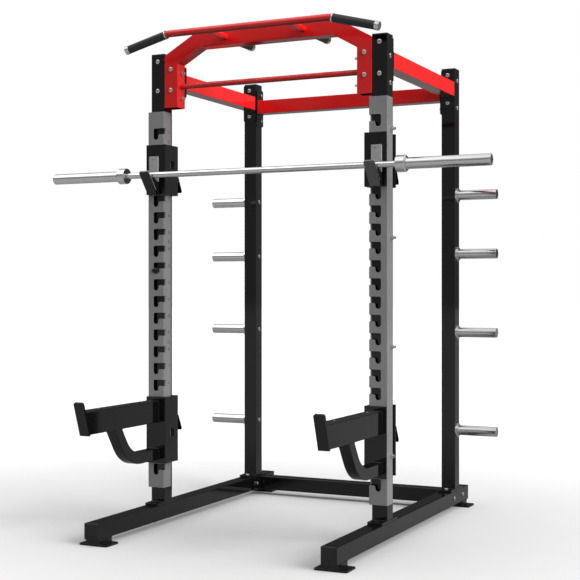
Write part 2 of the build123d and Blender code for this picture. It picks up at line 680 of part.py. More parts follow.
def hinge_pin(hinge_z):
    pin = rod(LATCH_PIN_R, (518, LATCH_Y, hinge_z), X_DIR, 88)
    for x in (518.0, 604.0):
        pin += rod(LATCH_PIN_R + 1.5, (x, LATCH_Y, hinge_z), X_DIR, 2)
    return pin


def latch(hinge_z):
    """Spring latch: finger flap below the hinge, nose above it that enters the post."""
    flap_path = [(LATCH_Y - 2, hinge_z + 8), (LATCH_Y + 30, hinge_z - 57), (LATCH_Y + 25, hinge_z - 67)]
    profile = bent_strip(flap_path, -LATCH_PLATE, 0)
    low_x, high_x = BRACKET_IN + 1, BRACKET_OUT
    flap = extrude(Plane(origin=(low_x, 0, 0), x_dir=Y_DIR, z_dir=X_DIR) * profile, high_x - low_x)
    depth = (BRACKET_REAR, LATCH_Y + 20)
    flap -= block((low_x + LATCH_TAB, high_x - LATCH_TAB + 1), depth, (hinge_z, hinge_z + 20))
    for x in ((low_x + LATCH_TAB, 527.0), (597.0, high_x - LATCH_TAB + 1)):
        flap -= block(x, depth, (hinge_z - 13, hinge_z + 20))
    barrel = rod(LATCH_BARREL_R, (527, LATCH_Y, hinge_z), X_DIR, 70)
    nose = nose_height(hinge_z)
    arm_x = (LATCH_MID_X - 10, LATCH_MID_X + 10)
    arm = block(arm_x, (LATCH_Y - 4, LATCH_Y + 3), (hinge_z, nose + 4))
    tongue = block(arm_x, (TUBE - 2 * TUBE_WALL, LATCH_Y + 3), (nose - 4, nose + 4))
    bore = rod(LATCH_BORE_R, (526, LATCH_Y, hinge_z), X_DIR, 72)
    return flap + barrel + arm + tongue - bore


# ---------------------------------------------------------------------- bar cup
def hook_path():
    return [(BRACKET_FRONT, CUP_Z[0]), (HOOK_FOOT_Y, CUP_Z[0]), HOOK_TIP]


def hook_extrusion(profile, width=HOOK_WIDTH):
    plane = Plane(origin=(UPRIGHT_X - width / 2, 0, 0), x_dir=Y_DIR, z_dir=X_DIR)
    return extrude(plane * profile, width)


def cup_bracket():
    hook = hook_extrusion(bent_strip(hook_path(), -PLATE, 0))
    tip_edges = hook.edges().filter_by(lambda e: abs(e.center().X - UPRIGHT_X) > 20)
    tip_edges = tip_edges.filter_by(lambda e: e.length < PLATE + 0.1 and e.center().Z > HOOK_TIP[1])
    hook = fillet(tip_edges, 6)
    body = bracket_shell(CUP_Z) + hook
    for ear in hinge_ears(CUP_LATCH_Z):
        body += ear
    holes = web_screw_holes(CUP_Z) + list(bracket_cuts(CUP_WINDOW_SLOT, CUP_LATCH_Z))
    holes += [rod(SCREW_R + 0.1, (UPRIGHT_X, BRACKET_FRONT - 1, z), Y_DIR, PLATE + 1)
              for z in WEAR_PAD_SCREWS_Z]
    return body.cut(*holes)


def cup_wear_pads():
    """Front wear plate on the bracket and the liner on the inside of the lip."""
    plate = block((UPRIGHT_X - PAD_WIDTH / 2, UPRIGHT_X + PAD_WIDTH / 2),
                  (BRACKET_FRONT - PAD, BRACKET_FRONT), (SADDLE_REAR_TOP, WEAR_PAD_TOP))
    plate = fillet(plate.edges().filter_by(Axis.Y).group_by(Axis.Z)[-1], 3)
    for z in WEAR_PAD_SCREWS_Z:
        plate -= rod(SCREW_R + 0.1, (UPRIGHT_X, BRACKET_FRONT - PAD - 1, z), Y_DIR, PAD + 2)
    lip_run = [(HOOK_FOOT_Y, CUP_Z[0]), HOOK_TIP]
    liner = hook_extrusion(bent_strip(lip_run, -PLATE - LIP_PAD, -PLATE), HOOK_WIDTH - 2)
    liner -= block((500, 640), (-200, 0), (CUP_Z[0] - 5, CUP_Z[0] + PLATE + 14))
    return [plate, liner]


def cup_saddle():
    """Plastic block that fills the foot of the cup and is dished for the bar."""
    floor = CUP_Z[0] + PLATE
    lip_run = [(HOOK_FOOT_Y, CUP_Z[0]), HOOK_TIP]
    liner_face = offset_points(lip_run, -PLATE - LIP_PAD)
    slope = (liner_face[1].X - liner_face[0].X) / (liner_face[1].Y - liner_face[0].Y)
    foot = (liner_face[0].X + slope * (floor - liner_face[0].Y), floor)
    brow = (liner_face[0].X + slope * (SADDLE_TOP - liner_face[0].Y), SADDLE_TOP)
    outline = make_face(Polyline((BRACKET_FRONT, floor), foot, brow, (BAR_Y + BAR_R, SADDLE_TOP),
                                 (BRACKET_FRONT - PAD, SADDLE_REAR_TOP),
                                 (BRACKET_FRONT, SADDLE_REAR_TOP), close=True))
    saddle = hook_extrusion(outline, HOOK_WIDTH - 2)
    return saddle - rod(BAR_R + GUIDE_GAP, (500, BAR_Y, BAR_Z), X_DIR, 140)


def cup_fixings():
    screws = [screw((UPRIGHT_X, BRACKET_FRONT - PAD, z), Y_DIR, PAD + PLATE - 1)
              for z in WEAR_PAD_SCREWS_Z]
    return web_screws(CUP_Z) + screws + [hinge_pin(CUP_LATCH_Z)]


def guide(z, slots, window_slot, latch_z):
    cuts = pin_holes(slots) + web_screw_holes(z) + list(bracket_cuts(window_slot, latch_z))
    return bracket_guide(z).cut(*cuts)


# ------------------------------------------------------------------ spotter arm
def arm_bracket():
    body = bracket_shell(ARM_BRACKET_Z)
    for ear in hinge_ears(ARM_LATCH_Z):
        body += ear
    cuts = web_screw_holes(ARM_BRACKET_Z) + list(bracket_cuts(ARM_WINDOW_SLOT, ARM_LATCH_Z))
    return body.cut(*cuts)


def stop_plane(setback):
    """Plane of the leaning end stop, moved back from its front face."""
    lean = radians(STOP_LEAN)
    forward = Vector(0, -cos(lean), -sin(lean))
    foot = Vector(UPRIGHT_X, *STOP_FOOT) - forward * setback
    return Plane(origin=foot, x_dir=X_DIR, z_dir=forward)


def in_front_of_stop(solid):
    """The solid with everything in front of the stop's rear face removed."""
    cutter = extrude(stop_plane(STOP_PLATE) * Rectangle(400, 800), 400)
    return solid - cutter


def spotter_arm():
    """Box beam with the leaning stop welded to its end."""
    reach = BRACKET_FRONT - STOP_FOOT[0] + 60
    beam = Pos(UPRIGHT_X, BRACKET_FRONT, ARM_BOTTOM + ARM_HEIGHT / 2) * Rot(90, 0, 0) * square_tube(
        reach, ARM_WIDTH, ARM_HEIGHT, ARM_WALL)
    beam = in_front_of_stop(beam)
    for y in STRIP_SCREWS_Y:
        beam -= rod(SCREW_R + 0.1, (UPRIGHT_X, y, ARM_BOTTOM + ARM_HEIGHT + 1), -Z_DIR, ARM_WALL + 2)
    outline = Pos(0, STOP_HEIGHT / 2) * Rectangle(ARM_WIDTH, STOP_HEIGHT)
    outline = fillet(outline.vertices().group_by(Axis.Y)[-1], 10)
    stop = extrude(stop_plane(0) * outline, -STOP_PLATE)
    return beam + stop


def arm_strip():
    """Plastic strip that the bar lands on."""
    top = ARM_BOTTOM + ARM_HEIGHT
    strip = block((UPRIGHT_X - ARM_WIDTH / 2 + 1, UPRIGHT_X + ARM_WIDTH / 2 - 1),
                  (STOP_FOOT[0] - 60, STRIP_REAR), (top, top + STRIP))
    strip = in_front_of_stop(strip)
    strip = fillet(strip.edges().filter_by(Axis.Z).group_by(Axis.Y)[-1], 5)
    for y in STRIP_SCREWS_Y:
        strip -= rod(SCREW_R + 0.1, (UPRIGHT_X, y, top - 1), Z_DIR, STRIP + 2)
    return strip


def arm_brace():
    """Curved brace from under the beam back to the foot of the bracket."""
    lean = radians(BRACE_LEAN)
    turn_y = BRACE_TOP_Y + (ARM_BOTTOM - BRACE_MID_Z) * tan(lean)
    start = (turn_y - 200 * sin(lean), BRACE_MID_Z + 200 * cos(lean))
    path = FilletPolyline((UPRIGHT_X, *start), (UPRIGHT_X, turn_y, BRACE_MID_Z),
                          (UPRIGHT_X, BRACKET_FRONT, BRACE_MID_Z), radius=BRACE_BEND)
    outer = RectangleRounded(ARM_WIDTH, BRACE_DEPTH, TUBE_CORNER)
    inner = RectangleRounded(ARM_WIDTH - 2 * ARM_WALL, BRACE_DEPTH - 2 * ARM_WALL, TUBE_INNER_CORNER)
    plane = Plane(origin=path @ 0, x_dir=X_DIR, z_dir=path % 0)
    brace = sweep(plane * outer, path) - sweep(plane * inner, path)
    return brace - block((500, 640), (-700, 0), (ARM_BOTTOM, ARM_BOTTOM + 300))


def arm_fixings():
    top = ARM_BOTTOM + ARM_HEIGHT + STRIP
    screws = [screw((UPRIGHT_X, y, top), -Z_DIR, STRIP + ARM_WALL) for y in STRIP_SCREWS_Y]
    return web_screws(ARM_BRACKET_Z) + screws + [hinge_pin(ARM_LATCH_Z)]


# ---------------------------------------------------------------------- barbell
def barbell_shaft():
    """Solid shaft; a ring near each end keeps the sleeve on."""
    half = BAR_END - BAR_CAP - 3
    shaft = rod(BAR_R, (-half, BAR_Y, BAR_Z), X_DIR, 2 * half)
    shaft = chamfer(shaft.edges().filter_by(GeomType.CIRCLE), 1.5)
    ring = rod(SLEEVE_BORE - 0.8, (half - 8, BAR_Y, BAR_Z), X_DIR, 4)
    return shaft + ring + left(ring)


def barbell_sleeve():
    """Rotating sleeve with its collar and closed outer end."""
    length = BAR_END - COLLAR_X[0]
    sleeve = rod(SLEEVE_R, (COLLAR_X[0], BAR_Y, BAR_Z), X_DIR, length)
    sleeve = chamfer(sleeve.edges().group_by(Axis.X)[-1], 2.0)
    collar = rod(COLLAR_R, (COLLAR_X[0], BAR_Y, BAR_Z), X_DIR, COLLAR_X[1] - COLLAR_X[0])
    collar = chamfer(collar.edges().group_by(Axis.X)[-1], 5.0)
    collar = fillet(collar.edges().group_by(Axis.X)[0], 2.0)
    bore = rod(SLEEVE_BORE, (COLLAR_X[0] - 1, BAR_Y, BAR_Z), X_DIR, length + 1 - BAR_CAP)
    return sleeve + collar - bore


def sleeve_bushings():
    starts = (COLLAR_X[0] + 2, BAR_END - BAR_CAP - 3 - 8 - 42)
    return [pipe(SLEEVE_BORE - 0.02, BAR_R + BUSH_GAP, (x, BAR_Y, BAR_Z), X_DIR, 40) for x in starts]


# ------------------------------------------------------------------------ nodes
keep("floor_rails", *both_sides([floor_rail()]))
keep("floor_rail_feet", *both_sides(rail_feet()))
keep("rear_floor_crossmember", rear_floor_crossmember())
keep("floor_frame_bolts", *floor_frame_bolts())
for name, post in (("front", front_upright()), ("rear", rear_upright())):
    keep(name + "_right_upright", post)
    keep(name + "_left_upright", left(post))
keep("tube_end_caps", *tube_end_caps())
keep_pair("slot_channel", slot_channel())
keep("channel_bolts", *channel_bolts())
keep("front_arch", front_arch())
keep_pair("top_beam", side_top_beam())
keep("rear_top_beam", rear_top_beam())
keep("top_beam_flanges", *top_beam_flanges())
keep("top_frame_bolts", *top_frame_bolts())
keep("front_pullup_bar", front_pullup_bar())
keep("lower_pullup_bar", rod(LOW_BAR_R, (TUBE / 2 - ARCH_LEG_X, TUBE / 2, LOW_BAR_Z), X_DIR,
                             2 * ARCH_LEG_X - TUBE))
keep("pullup_grips", *pullup_grips())
keep("grip_end_caps", *grip_end_caps())
keep("storage_pegs", *storage_pegs())
keep("storage_peg_caps", *storage_peg_caps())
keep("storage_peg_bolts", *storage_peg_bolts())

keep_pair("cup_bracket", cup_bracket())
keep_pair("cup_pins", *locating_pins(CUP_SLOTS))
keep_pair("cup_guide", guide(CUP_Z, CUP_SLOTS, CUP_WINDOW_SLOT, CUP_LATCH_Z))
keep_pair("cup_wear_pads", *cup_wear_pads())
keep_pair("cup_saddle", cup_saddle())
keep_pair("cup_fixings", *cup_fixings())
keep_pair("cup_latch", latch(CUP_LATCH_Z))

keep_pair("arm_bracket", arm_bracket())
keep_pair("arm_pins", *locating_pins(ARM_SLOTS))
keep_pair("arm_guide", guide(ARM_BRACKET_Z, ARM_SLOTS, ARM_WINDOW_SLOT, ARM_LATCH_Z))
keep_pair("spotter_arm", spotter_arm())
keep_pair("arm_brace", arm_brace())
keep_pair("arm_strip", arm_strip())
keep_pair("arm_fixings", *arm_fixings())
keep_pair("arm_latch", latch(ARM_LATCH_Z))

keep("barbell_shaft", barbell_shaft())
keep_pair("barbell_sleeve", barbell_sleeve())
keep_pair("sleeve_bushings", *sleeve_bushings())

os.makedirs("parts", exist_ok=True)
for name, solids in nodes.items():
    placed = [Pos(0, FRONT_FACE_Y, 0) * solid for solid in solids]
    shape = placed[0] if len(placed) == 1 else Compound(children=placed)
    export_step(shape, f"parts/{name}.step")
print(len(nodes), "nodes; front face of the front uprights at y =", round(FRONT_FACE_Y, 3))
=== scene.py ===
import json
import math
import random

import bmesh
import bpy
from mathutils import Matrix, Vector


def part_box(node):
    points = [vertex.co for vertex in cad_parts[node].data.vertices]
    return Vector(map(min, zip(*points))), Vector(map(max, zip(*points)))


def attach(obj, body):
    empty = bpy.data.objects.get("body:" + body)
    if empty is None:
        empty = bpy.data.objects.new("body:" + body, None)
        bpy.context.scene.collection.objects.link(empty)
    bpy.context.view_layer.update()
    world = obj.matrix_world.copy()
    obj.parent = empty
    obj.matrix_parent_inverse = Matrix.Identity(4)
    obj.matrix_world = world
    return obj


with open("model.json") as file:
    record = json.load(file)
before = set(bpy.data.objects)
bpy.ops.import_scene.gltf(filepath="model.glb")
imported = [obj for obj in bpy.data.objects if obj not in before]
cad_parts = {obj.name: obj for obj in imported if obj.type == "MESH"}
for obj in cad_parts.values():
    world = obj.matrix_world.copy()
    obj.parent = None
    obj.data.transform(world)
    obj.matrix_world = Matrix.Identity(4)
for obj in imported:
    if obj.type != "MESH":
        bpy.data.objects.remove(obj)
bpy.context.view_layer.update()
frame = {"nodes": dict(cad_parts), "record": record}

SIDES = (("left", -1), ("right", 1))

# Places from the CAD, in millimetres; Y is counted from the front face of the front uprights
MM = 0.001
FRONT_FACE = -266.46
INNER_X, UPRIGHT_X, OUTER_X = 532.2, 568.2, 604.2
TUBE = 72.0
REAR_Y = 963.0
BASE_TOP = 112.0
RAIL_BOTTOM, RAIL_TOP = 29.0, 101.0
FOOT_TOP = 8.0
FEET_Y = ((-545.0, -447.0), (1089.0, 1165.0))
SIDE_BEAM_Z = (2110.0, 2182.0)
REAR_BEAM_Z = (2090.0, 2162.0)
BEAM_ENDS_Y = (80.0, 955.0)
CROSS_END_X = 524.2
CROSS_Y = (986.0, 1058.0)
BRACKET_FRONT = -33.0
ARM_X = (543.2, 593.2)
ARM_Z = (495.0, 595.0)
BRACE_Z = (317.8, 371.0)
BRACE_TOP_Y = (-409.0, -345.0)
HOOK_Z = (1578.0, 1586.0)
HOOK_FOOT_Y = -53.0
WEB_SCREW_X, WEB_SCREW_Y = 520.0, 40.0
CHANNEL_SIDE_X = 524.95
CHANNEL_FRONT_Y, SHEET = -17.0, 7.0
CHANNEL_FACE_HALF = 39.0
FIRST_SLOT_TOP, SLOT_PITCH, SLOT_COUNT = 296.0, 80.0, 21
LOW_BAR_END, LOW_BAR_Z, LOW_BAR_R = 460.2, 2095.5, 13.0
BAR_Y, BAR_Z, SLEEVE_END = -88.0, 1666.5, 1100.0

# Details that only the visual model has, in millimetres
WELD_SIZE = 2.1
WELD_STEP = 2.2
WELD_RIPPLE, WELD_RIPPLE_RATE, WELD_UNEVEN = 0.22, 0.9, 0.05  # of the size; radians per step
RING_PROFILE = ((0.0, 21.2), (0.9, 21.0), (1.2, 20.0), (0.9, 19.0), (0.0, 18.8))  # out, radius
RING_START, RING_STEP, RING_STEPS = 8, 5, 70  # degrees; the rest of the turn is the ring's gap
PLUG_X, PLUG_Z = -569.0, 1217.0
PLUG_PROFILE = (
    # y, half width, half height
    (-1.5, 8.0, 8.0),
    (-1.5, 10.6, 10.6),
    (-3.0, 11.2, 11.2),
    (CHANNEL_FRONT_Y - 0.3, 11.2, 11.2),
    (CHANNEL_FRONT_Y - 0.3, 20.0, 12.0),
    (CHANNEL_FRONT_Y - 1.2, 21.0, 12.8),
    (CHANNEL_FRONT_Y - 5.0, 20.6, 12.5),
    (CHANNEL_FRONT_Y - 7.2, 18.4, 10.8),
    (CHANNEL_FRONT_Y - 8.2, 14.0, 7.6),
    (CHANNEL_FRONT_Y - 8.4, 5.0, 3.0),
)
NUMBER_Y, NUMBER_DROP, NUMBER_SIZE = 29.0, 15.5, 22
INK_HALF_DEPTH = 0.06

# Knurling of the bar: bands and ring marks in metres from its middle, then its ridges
KNURL_FROM, KNURL_TO = 0.19, 0.64
KNURL_CENTRE = 0.06
RING_MARK, RING_MARK_HALF = 0.405, 0.003
KNURL_ALONG = 3600.0  # radians per metre
KNURL_AROUND = 44.0  # per turn

# Camera: level, below the top of the cage, turned towards the cage from its front right
CAMERA_PLACE = Vector((2.5308, -5.3057, 1.1294))
CAMERA_TURN = math.radians(25.45)
CAMERA_LENS = 76.2
CAMERA_SHIFT = -0.0018

# Studio light: a wide key from the right, a bright ceiling, a dimmer front and right, a dark rear
KEY_FROM = (0.93, -0.17, 0.3)
KEY_STRENGTH = 4.4
KEY_SPREAD = 50.0
WORLD_TERMS = (
    # direction, cosine from, cosine to, light at from, light at to
    ((0.0, -1.0, 0.0), -0.6, 0.8, 0.07, 0.34),
    ((1.0, 0.0, 0.0), 0.22, 0.55, 0.0, 0.27),
    ((0.0, 0.0, 1.0), 0.35, 0.80, 0.0, 1.05),
)
# Softbox over the front left and its fading towards the right, in reflections only; same columns
SOFTBOX = ((0.0, -0.45, 0.89), 0.63, 0.85, 0.0, 1.9)
SOFTBOX_FADE = ((1.0, 0.0, 0.0), -0.50, -0.26, 1.0, 0.05)
# Floor: its tone, darker near the cage as a painted shadow, its tone as a source of light, and its
# tone in reflections; fades in metres
FLOOR_PAINTED_SHADOW_NEAR, FLOOR_FAR = 0.67, 0.98
FLOOR_PAINTED_SHADOW_FADE = (0.6, 3.2)
FLOOR_DIFFUSE = 0.04
FLOOR_MIRRORED_NEAR, FLOOR_MIRRORED_FAR, FLOOR_MIRRORED_REAR = 0.31, 0.41, 0.6
FLOOR_MIRRORED_FADE = (0.7, 2.6)
FLOOR_MIRRORED_REAR_FADE = (0.5, 2.5)


# ------------------------------------------------------------------ node helpers
class Graph:
    """Short calls for building a material's node tree."""

    def __init__(self, material):
        material.use_nodes = True
        self.tree = material.node_tree
        self.shader = self.tree.nodes["Principled BSDF"]

    def add(self, kind, inputs=None, **settings):
        made = self.tree.nodes.new(kind)
        for key, value in settings.items():
            setattr(made, key, value)
        for key, value in (inputs or {}).items():
            self.put(value, made.inputs[key])
        return made

    def put(self, value, socket):
        if isinstance(value, bpy.types.NodeSocket):
            self.tree.links.new(value, socket)
        else:
            socket.default_value = value

    def math(self, operation, *values):
        made = self.add("ShaderNodeMath", operation=operation)
        for value, socket in zip(values, made.inputs):
            self.put(value, socket)
        return made.outputs[0]

    def ranged(self, value, low, high, to_low, to_high):
        made = self.add("ShaderNodeMapRange", {"Value": value, "From Min": low, "From Max": high,
                                               "To Min": to_low, "To Max": to_high})
        return made.outputs[0]

    def spread(self, noise, to_low=0.0, to_high=1.0):
        """Noise, whose values gather round a half, spread over a range."""
        return self.ranged(noise, 0.3, 0.7, to_low, to_high)

    def mixed(self, factor, first, second):
        made = self.add("ShaderNodeMix", data_type="RGBA")
        self.put(factor, made.inputs["Factor"])
        self.put(first, made.inputs["A"])
        self.put(second, made.inputs["B"])
        return made.outputs["Result"]

    def point(self):
        return self.add("ShaderNodeTexCoord").outputs["Object"]

    def noise(self, scale, detail=3.0, stretch=None):
        point = self.point()
        if stretch:
            point = self.add("ShaderNodeMapping", {"Vector": point, "Scale": stretch}).outputs[0]
        made = self.add("ShaderNodeTexNoise", {"Vector": point, "Scale": scale, "Detail": detail})
        return made.outputs["Fac"]

    def edges(self, radius):
        """1 on sharp outer and inner edges, 0 on open faces, with the rounded normal."""
        bevel = self.add("ShaderNodeBevel", {"Radius": radius}, samples=4)
        flat = self.add("ShaderNodeNewGeometry").outputs["Normal"]
        same = self.add("ShaderNodeVectorMath", {0: bevel.outputs[0], 1: flat},
                        operation="DOT_PRODUCT")
        return self.ranged(same.outputs["Value"], 0.985, 0.8, 0.0, 1.0), bevel.outputs[0]

    def bump(self, height, distance, strength=1.0, normal=None):
        inputs = {"Height": height, "Distance": distance, "Strength": strength}
        if normal is not None:
            inputs["Normal"] = normal
        return self.add("ShaderNodeBump", inputs).outputs[0]

    def link(self, **values):
        for key, value in values.items():
            self.put(value, self.shader.inputs[key.replace("_", " ")])


def shade(level):
    return (level, level, level, 1.0)


# --------------------------------------------------------------------- materials
def powder_coat(name, colour, worn, roughness, metallic=0.0, cloud=0.86):
    """Glossy paint: faint orange peel, cloudy tone, duller dust and lighter rubbed edges."""
    material = bpy.data.materials.new(name)
    g = Graph(material)
    clouds = g.noise(6.0, 4.0)
    darker = tuple(cloud * c for c in colour)
    base = g.mixed(g.ranged(clouds, 0.35, 0.65, 0.0, 1.0), (*darker, 1), (*colour, 1))
    edge, rounded = g.edges(0.0012)
    rub = g.math("MULTIPLY", edge, g.ranged(g.noise(55.0, 3.0), 0.42, 0.7, 0.0, 0.8))
    peel = g.noise(900.0, 1.0)
    smear = g.noise(14.0, 5.0, (1.0, 1.0, 0.35))
    g.link(Base_Color=g.mixed(rub, base, (*worn, 1)),
           Roughness=g.spread(smear, roughness * 0.85, roughness * 1.2),
           Normal=g.bump(peel, 0.00002, 0.4, rounded))
    g.shader.inputs["Metallic"].default_value = metallic
    return material


def bare_metal(name, level, roughness, grain, streak=300.0):
    """Plated or turned steel with fine streaks along one direction."""
    material = bpy.data.materials.new(name)
    g = Graph(material)
    g.shader.inputs["Metallic"].default_value = 1.0
    streaks = g.noise(streak, 2.0, grain)
    clouds = g.noise(9.0, 4.0)
    edge, rounded = g.edges(0.0008)
    tone = g.mixed(g.spread(streaks), shade(level * 0.9), shade(level * 1.05))
    g.link(Base_Color=g.mixed(g.math("MULTIPLY", edge, 0.4), tone, shade(min(1.0, level * 1.25))),
           Roughness=g.spread(clouds, roughness * 0.75, roughness * 1.35),
           Normal=g.bump(streaks, 0.00002, 0.4, rounded))
    return material


def knurled_shaft(name, level, roughness, axis_z, axis_y):
    """Bar shaft with crossed knurling in bands, and a smooth ring mark in each outer band."""
    material = bpy.data.materials.new(name)
    g = Graph(material)
    g.shader.inputs["Metallic"].default_value = 1.0
    parts = g.add("ShaderNodeSeparateXYZ", {0: g.point()})
    along = parts.outputs[0]
    up = g.math("SUBTRACT", parts.outputs[2], axis_z)
    back = g.math("SUBTRACT", parts.outputs[1], axis_y)
    turn = g.math("ARCTAN2", up, back)
    waves = []
    for hand in (-1.0, 1.0):
        phase = g.math("ADD", g.math("MULTIPLY", along, KNURL_ALONG),
                       g.math("MULTIPLY", turn, KNURL_AROUND * hand))
        waves.append(g.math("ABSOLUTE", g.math("SINE", phase)))
    diamond = g.math("MULTIPLY", waves[0], waves[1])
    away = g.math("ABSOLUTE", along)
    band = g.math("MULTIPLY", g.math("GREATER_THAN", away, KNURL_FROM),
                  g.math("LESS_THAN", away, KNURL_TO))
    mark = g.math("LESS_THAN", g.math("ABSOLUTE", g.math("SUBTRACT", away, RING_MARK)),
                  RING_MARK_HALF)
    band = g.math("MULTIPLY", band, g.math("SUBTRACT", 1.0, mark))
    band = g.math("MAXIMUM", band, g.math("LESS_THAN", away, KNURL_CENTRE))
    knurl = g.math("MULTIPLY", diamond, band)
    fine = g.noise(260.0, 2.0, (0.06, 1.0, 1.0))
    tone = g.mixed(g.spread(fine), shade(level * 0.9), shade(level * 1.05))
    g.link(Base_Color=g.mixed(g.math("MULTIPLY", band, 0.25), tone, shade(level * 0.8)),
           Roughness=g.ranged(band, 0.0, 1.0, roughness, roughness * 1.3),
           Normal=g.bump(knurl, 0.00008, 0.4))
    return material


def moulded_plastic(name, colour, roughness, grain_size=1400.0, depth=0.00004):
    """Moulded plastic: fine texture, slight mottling, scuffs on the edges."""
    material = bpy.data.materials.new(name)
    g = Graph(material)
    clouds = g.noise(20.0, 4.0)
    lighter = tuple(min(1.0, 1.25 * c + 0.002) for c in colour)
    base = g.mixed(g.spread(clouds), (*colour, 1), (*lighter, 1))
    edge, rounded = g.edges(0.0009)
    scuff = g.math("MULTIPLY", edge, g.ranged(g.noise(90.0, 3.0), 0.45, 0.7, 0.0, 0.6))
    worn = tuple(min(1.0, 2.2 * c + 0.02) for c in colour)
    g.link(Base_Color=g.mixed(scuff, base, (*worn, 1)),
           Roughness=g.spread(g.noise(30.0, 3.0), roughness * 0.85, roughness * 1.15),
           Normal=g.bump(g.noise(grain_size, 2.0), depth, 0.7, rounded))
    return material


def grip_rubber(name):
    """Soft rubber with a close pattern of small raised dots."""
    material = bpy.data.materials.new(name)
    g = Graph(material)
    cells = g.add("ShaderNodeTexVoronoi", {"Vector": g.point(), "Scale": 330.0}).outputs["Distance"]
    clouds = g.noise(25.0, 3.0)
    base = g.mixed(g.spread(clouds), shade(0.010), shade(0.018))
    g.link(Base_Color=base, Roughness=g.spread(clouds, 0.42, 0.6),
           Normal=g.bump(g.ranged(cells, 0.1, 0.5, 1.0, 0.0), 0.0004, 0.7))
    return material


def paint_ink(name, level):
    """Pad-printed ink, slightly uneven."""
    material = bpy.data.materials.new(name)
    g = Graph(material)
    patchy = g.noise(420.0, 3.0)
    g.link(Base_Color=g.mixed(g.spread(patchy), shade(level * 0.8), shade(level * 1.3)),
           Roughness=g.spread(patchy, 0.45, 0.65))
    return material


SHAFT_LOW, SHAFT_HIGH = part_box("barbell_shaft")
SHAFT_MID = (SHAFT_LOW + SHAFT_HIGH) / 2

CHROME_LEVEL, CHROME_ROUGHNESS = 0.68, 0.11
MATERIALS = {
    "black_paint": powder_coat("black_powder_coat", (0.003, 0.003, 0.0032),
                               (0.03, 0.03, 0.03), 0.05),
    "red_paint": powder_coat("red_powder_coat", (0.78, 0.012, 0.0125),
                             (0.85, 0.08, 0.07), 0.16, 0.0, 0.93),
    "grey_paint": powder_coat("silver_grey_coat", (0.32, 0.32, 0.325),
                              (0.5, 0.5, 0.5), 0.36, 0.5, 0.92),
    "chrome": bare_metal("satin_chrome", CHROME_LEVEL, CHROME_ROUGHNESS, (0.05, 1.0, 1.0)),
    "zinc": bare_metal("zinc_plate", 0.66, 0.18, (1.0, 1.0, 1.0), 500.0),
    "black_plastic": moulded_plastic("black_plastic", (0.005, 0.005, 0.0055), 0.38),
    "grey_plastic": moulded_plastic("grey_plastic", (0.3, 0.3, 0.3), 0.4),
    "rubber": grip_rubber("grip_rubber"),
    "bronze": bare_metal("bushing_bronze", 0.4, 0.35, (0.05, 1.0, 1.0)),
}
INK = paint_ink("dark_ink", 0.012)
# Lighter grey coat for the right cup's lip front: a painted reflection.
LIP_PAINTED_REFLECTION_COAT = powder_coat("lip_painted_reflection_grey_coat", (0.22, 0.22, 0.222), (0.3, 0.3, 0.3), 0.3)


def paint_nodes():
    """Gives every CAD node the material of its slot in the record."""
    slots = {row["node"]: row["material_slot"] for row in frame["record"]["subparts"]}
    for name, node in frame["nodes"].items():
        material = MATERIALS[slots[name]]
        if name == "barbell_shaft":
            material = knurled_shaft("knurled_chrome", CHROME_LEVEL, CHROME_ROUGHNESS,
                                     SHAFT_MID.z, SHAFT_MID.y)
        node.data.materials.clear()
        node.data.materials.append(material)


def repaint(node, chosen, material=MATERIALS["black_paint"]):
    """Puts another material on the chosen faces of a CAD node."""
    mesh = frame["nodes"][node].data
    mesh.materials.append(material)
    for face in mesh.polygons:
        if chosen(face.center, face.normal):
            face.material_index = 1


def in_slot_wall(centre, normal):
    """Cut edges of the L-slots, but not the ends of the channel; the black paint put on them is
    painted shade inside the slots.
    """
    depth = centre.y / MM - FRONT_FACE - CHANNEL_FRONT_Y
    top = FIRST_SLOT_TOP + SLOT_COUNT * SLOT_PITCH
    if not FIRST_SLOT_TOP - SLOT_PITCH < centre.z / MM < top:
        return False
    if abs(normal.z) > 0.7:
        return True
    in_front_sheet = 0.1 < depth < SHEET - 0.1
    off_middle = abs(abs(centre.x) / MM - UPRIGHT_X)
    return in_front_sheet and abs(normal.y) < 0.5 and off_middle < CHANNEL_FACE_HALF


def is_base_plate_bolt(centre, normal):
    """Bolts through the base plates of the front uprights."""
    return centre.z / MM > BASE_TOP and centre.y < 0


def is_web_screw(centre, normal):
    """Screws in the inner web of a cup's or spotter arm's bracket."""
    return abs(centre.x) / MM < WEB_SCREW_X and centre.y / MM - FRONT_FACE < WEB_SCREW_Y


def is_lip_front(centre, normal):
    """Outer face of the leaning lip of a cup, where a lighter grey coat is a painted reflection."""
    return normal.z < -0.4 and normal.y < -0.6 and centre.y / MM - FRONT_FACE < HOOK_FOOT_Y


# ----------------------------------------------------------------- detail pieces
LOOP_ORDER = ((0, 0), (1, 0), (1, 1), (0, 1))


def place(x, y, z):
    """Point in metres in the shared frame from a place in the CAD's millimetres."""
    return Vector((x, y + FRONT_FACE, z)) * MM


def piece(name, shape, body, material, smooth=True):
    """Turns a bmesh into an object that rides on a CAD body."""
    bmesh.ops.recalc_face_normals(shape, faces=shape.faces)
    mesh = bpy.data.meshes.new(name)
    shape.to_mesh(mesh)
    shape.free()
    for face in mesh.polygons:
        face.use_smooth = smooth
    mesh.materials.append(material)
    made = bpy.data.objects.new(name, mesh)
    bpy.context.scene.collection.objects.link(made)
    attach(made, body)


def level_loop(x, y, z):
    """Rectangle square to Z."""
    return [place(x[i], y[j], z) for i, j in LOOP_ORDER]


def front_loop(x, y, z):
    """Rectangle square to Y."""
    return [place(x[i], y, z[j]) for i, j in LOOP_ORDER]


def side_loop(x, y, z):
    """Rectangle square to X."""
    return [place(x, y[i], z[j]) for i, j in LOOP_ORDER]


def cross_loop(x, y, z, radius):
    """Circle round an axis along X."""
    turns = [math.radians(15 * step) for step in range(24)]
    return [place(x, y + radius * math.cos(turn), z + radius * math.sin(turn)) for turn in turns]


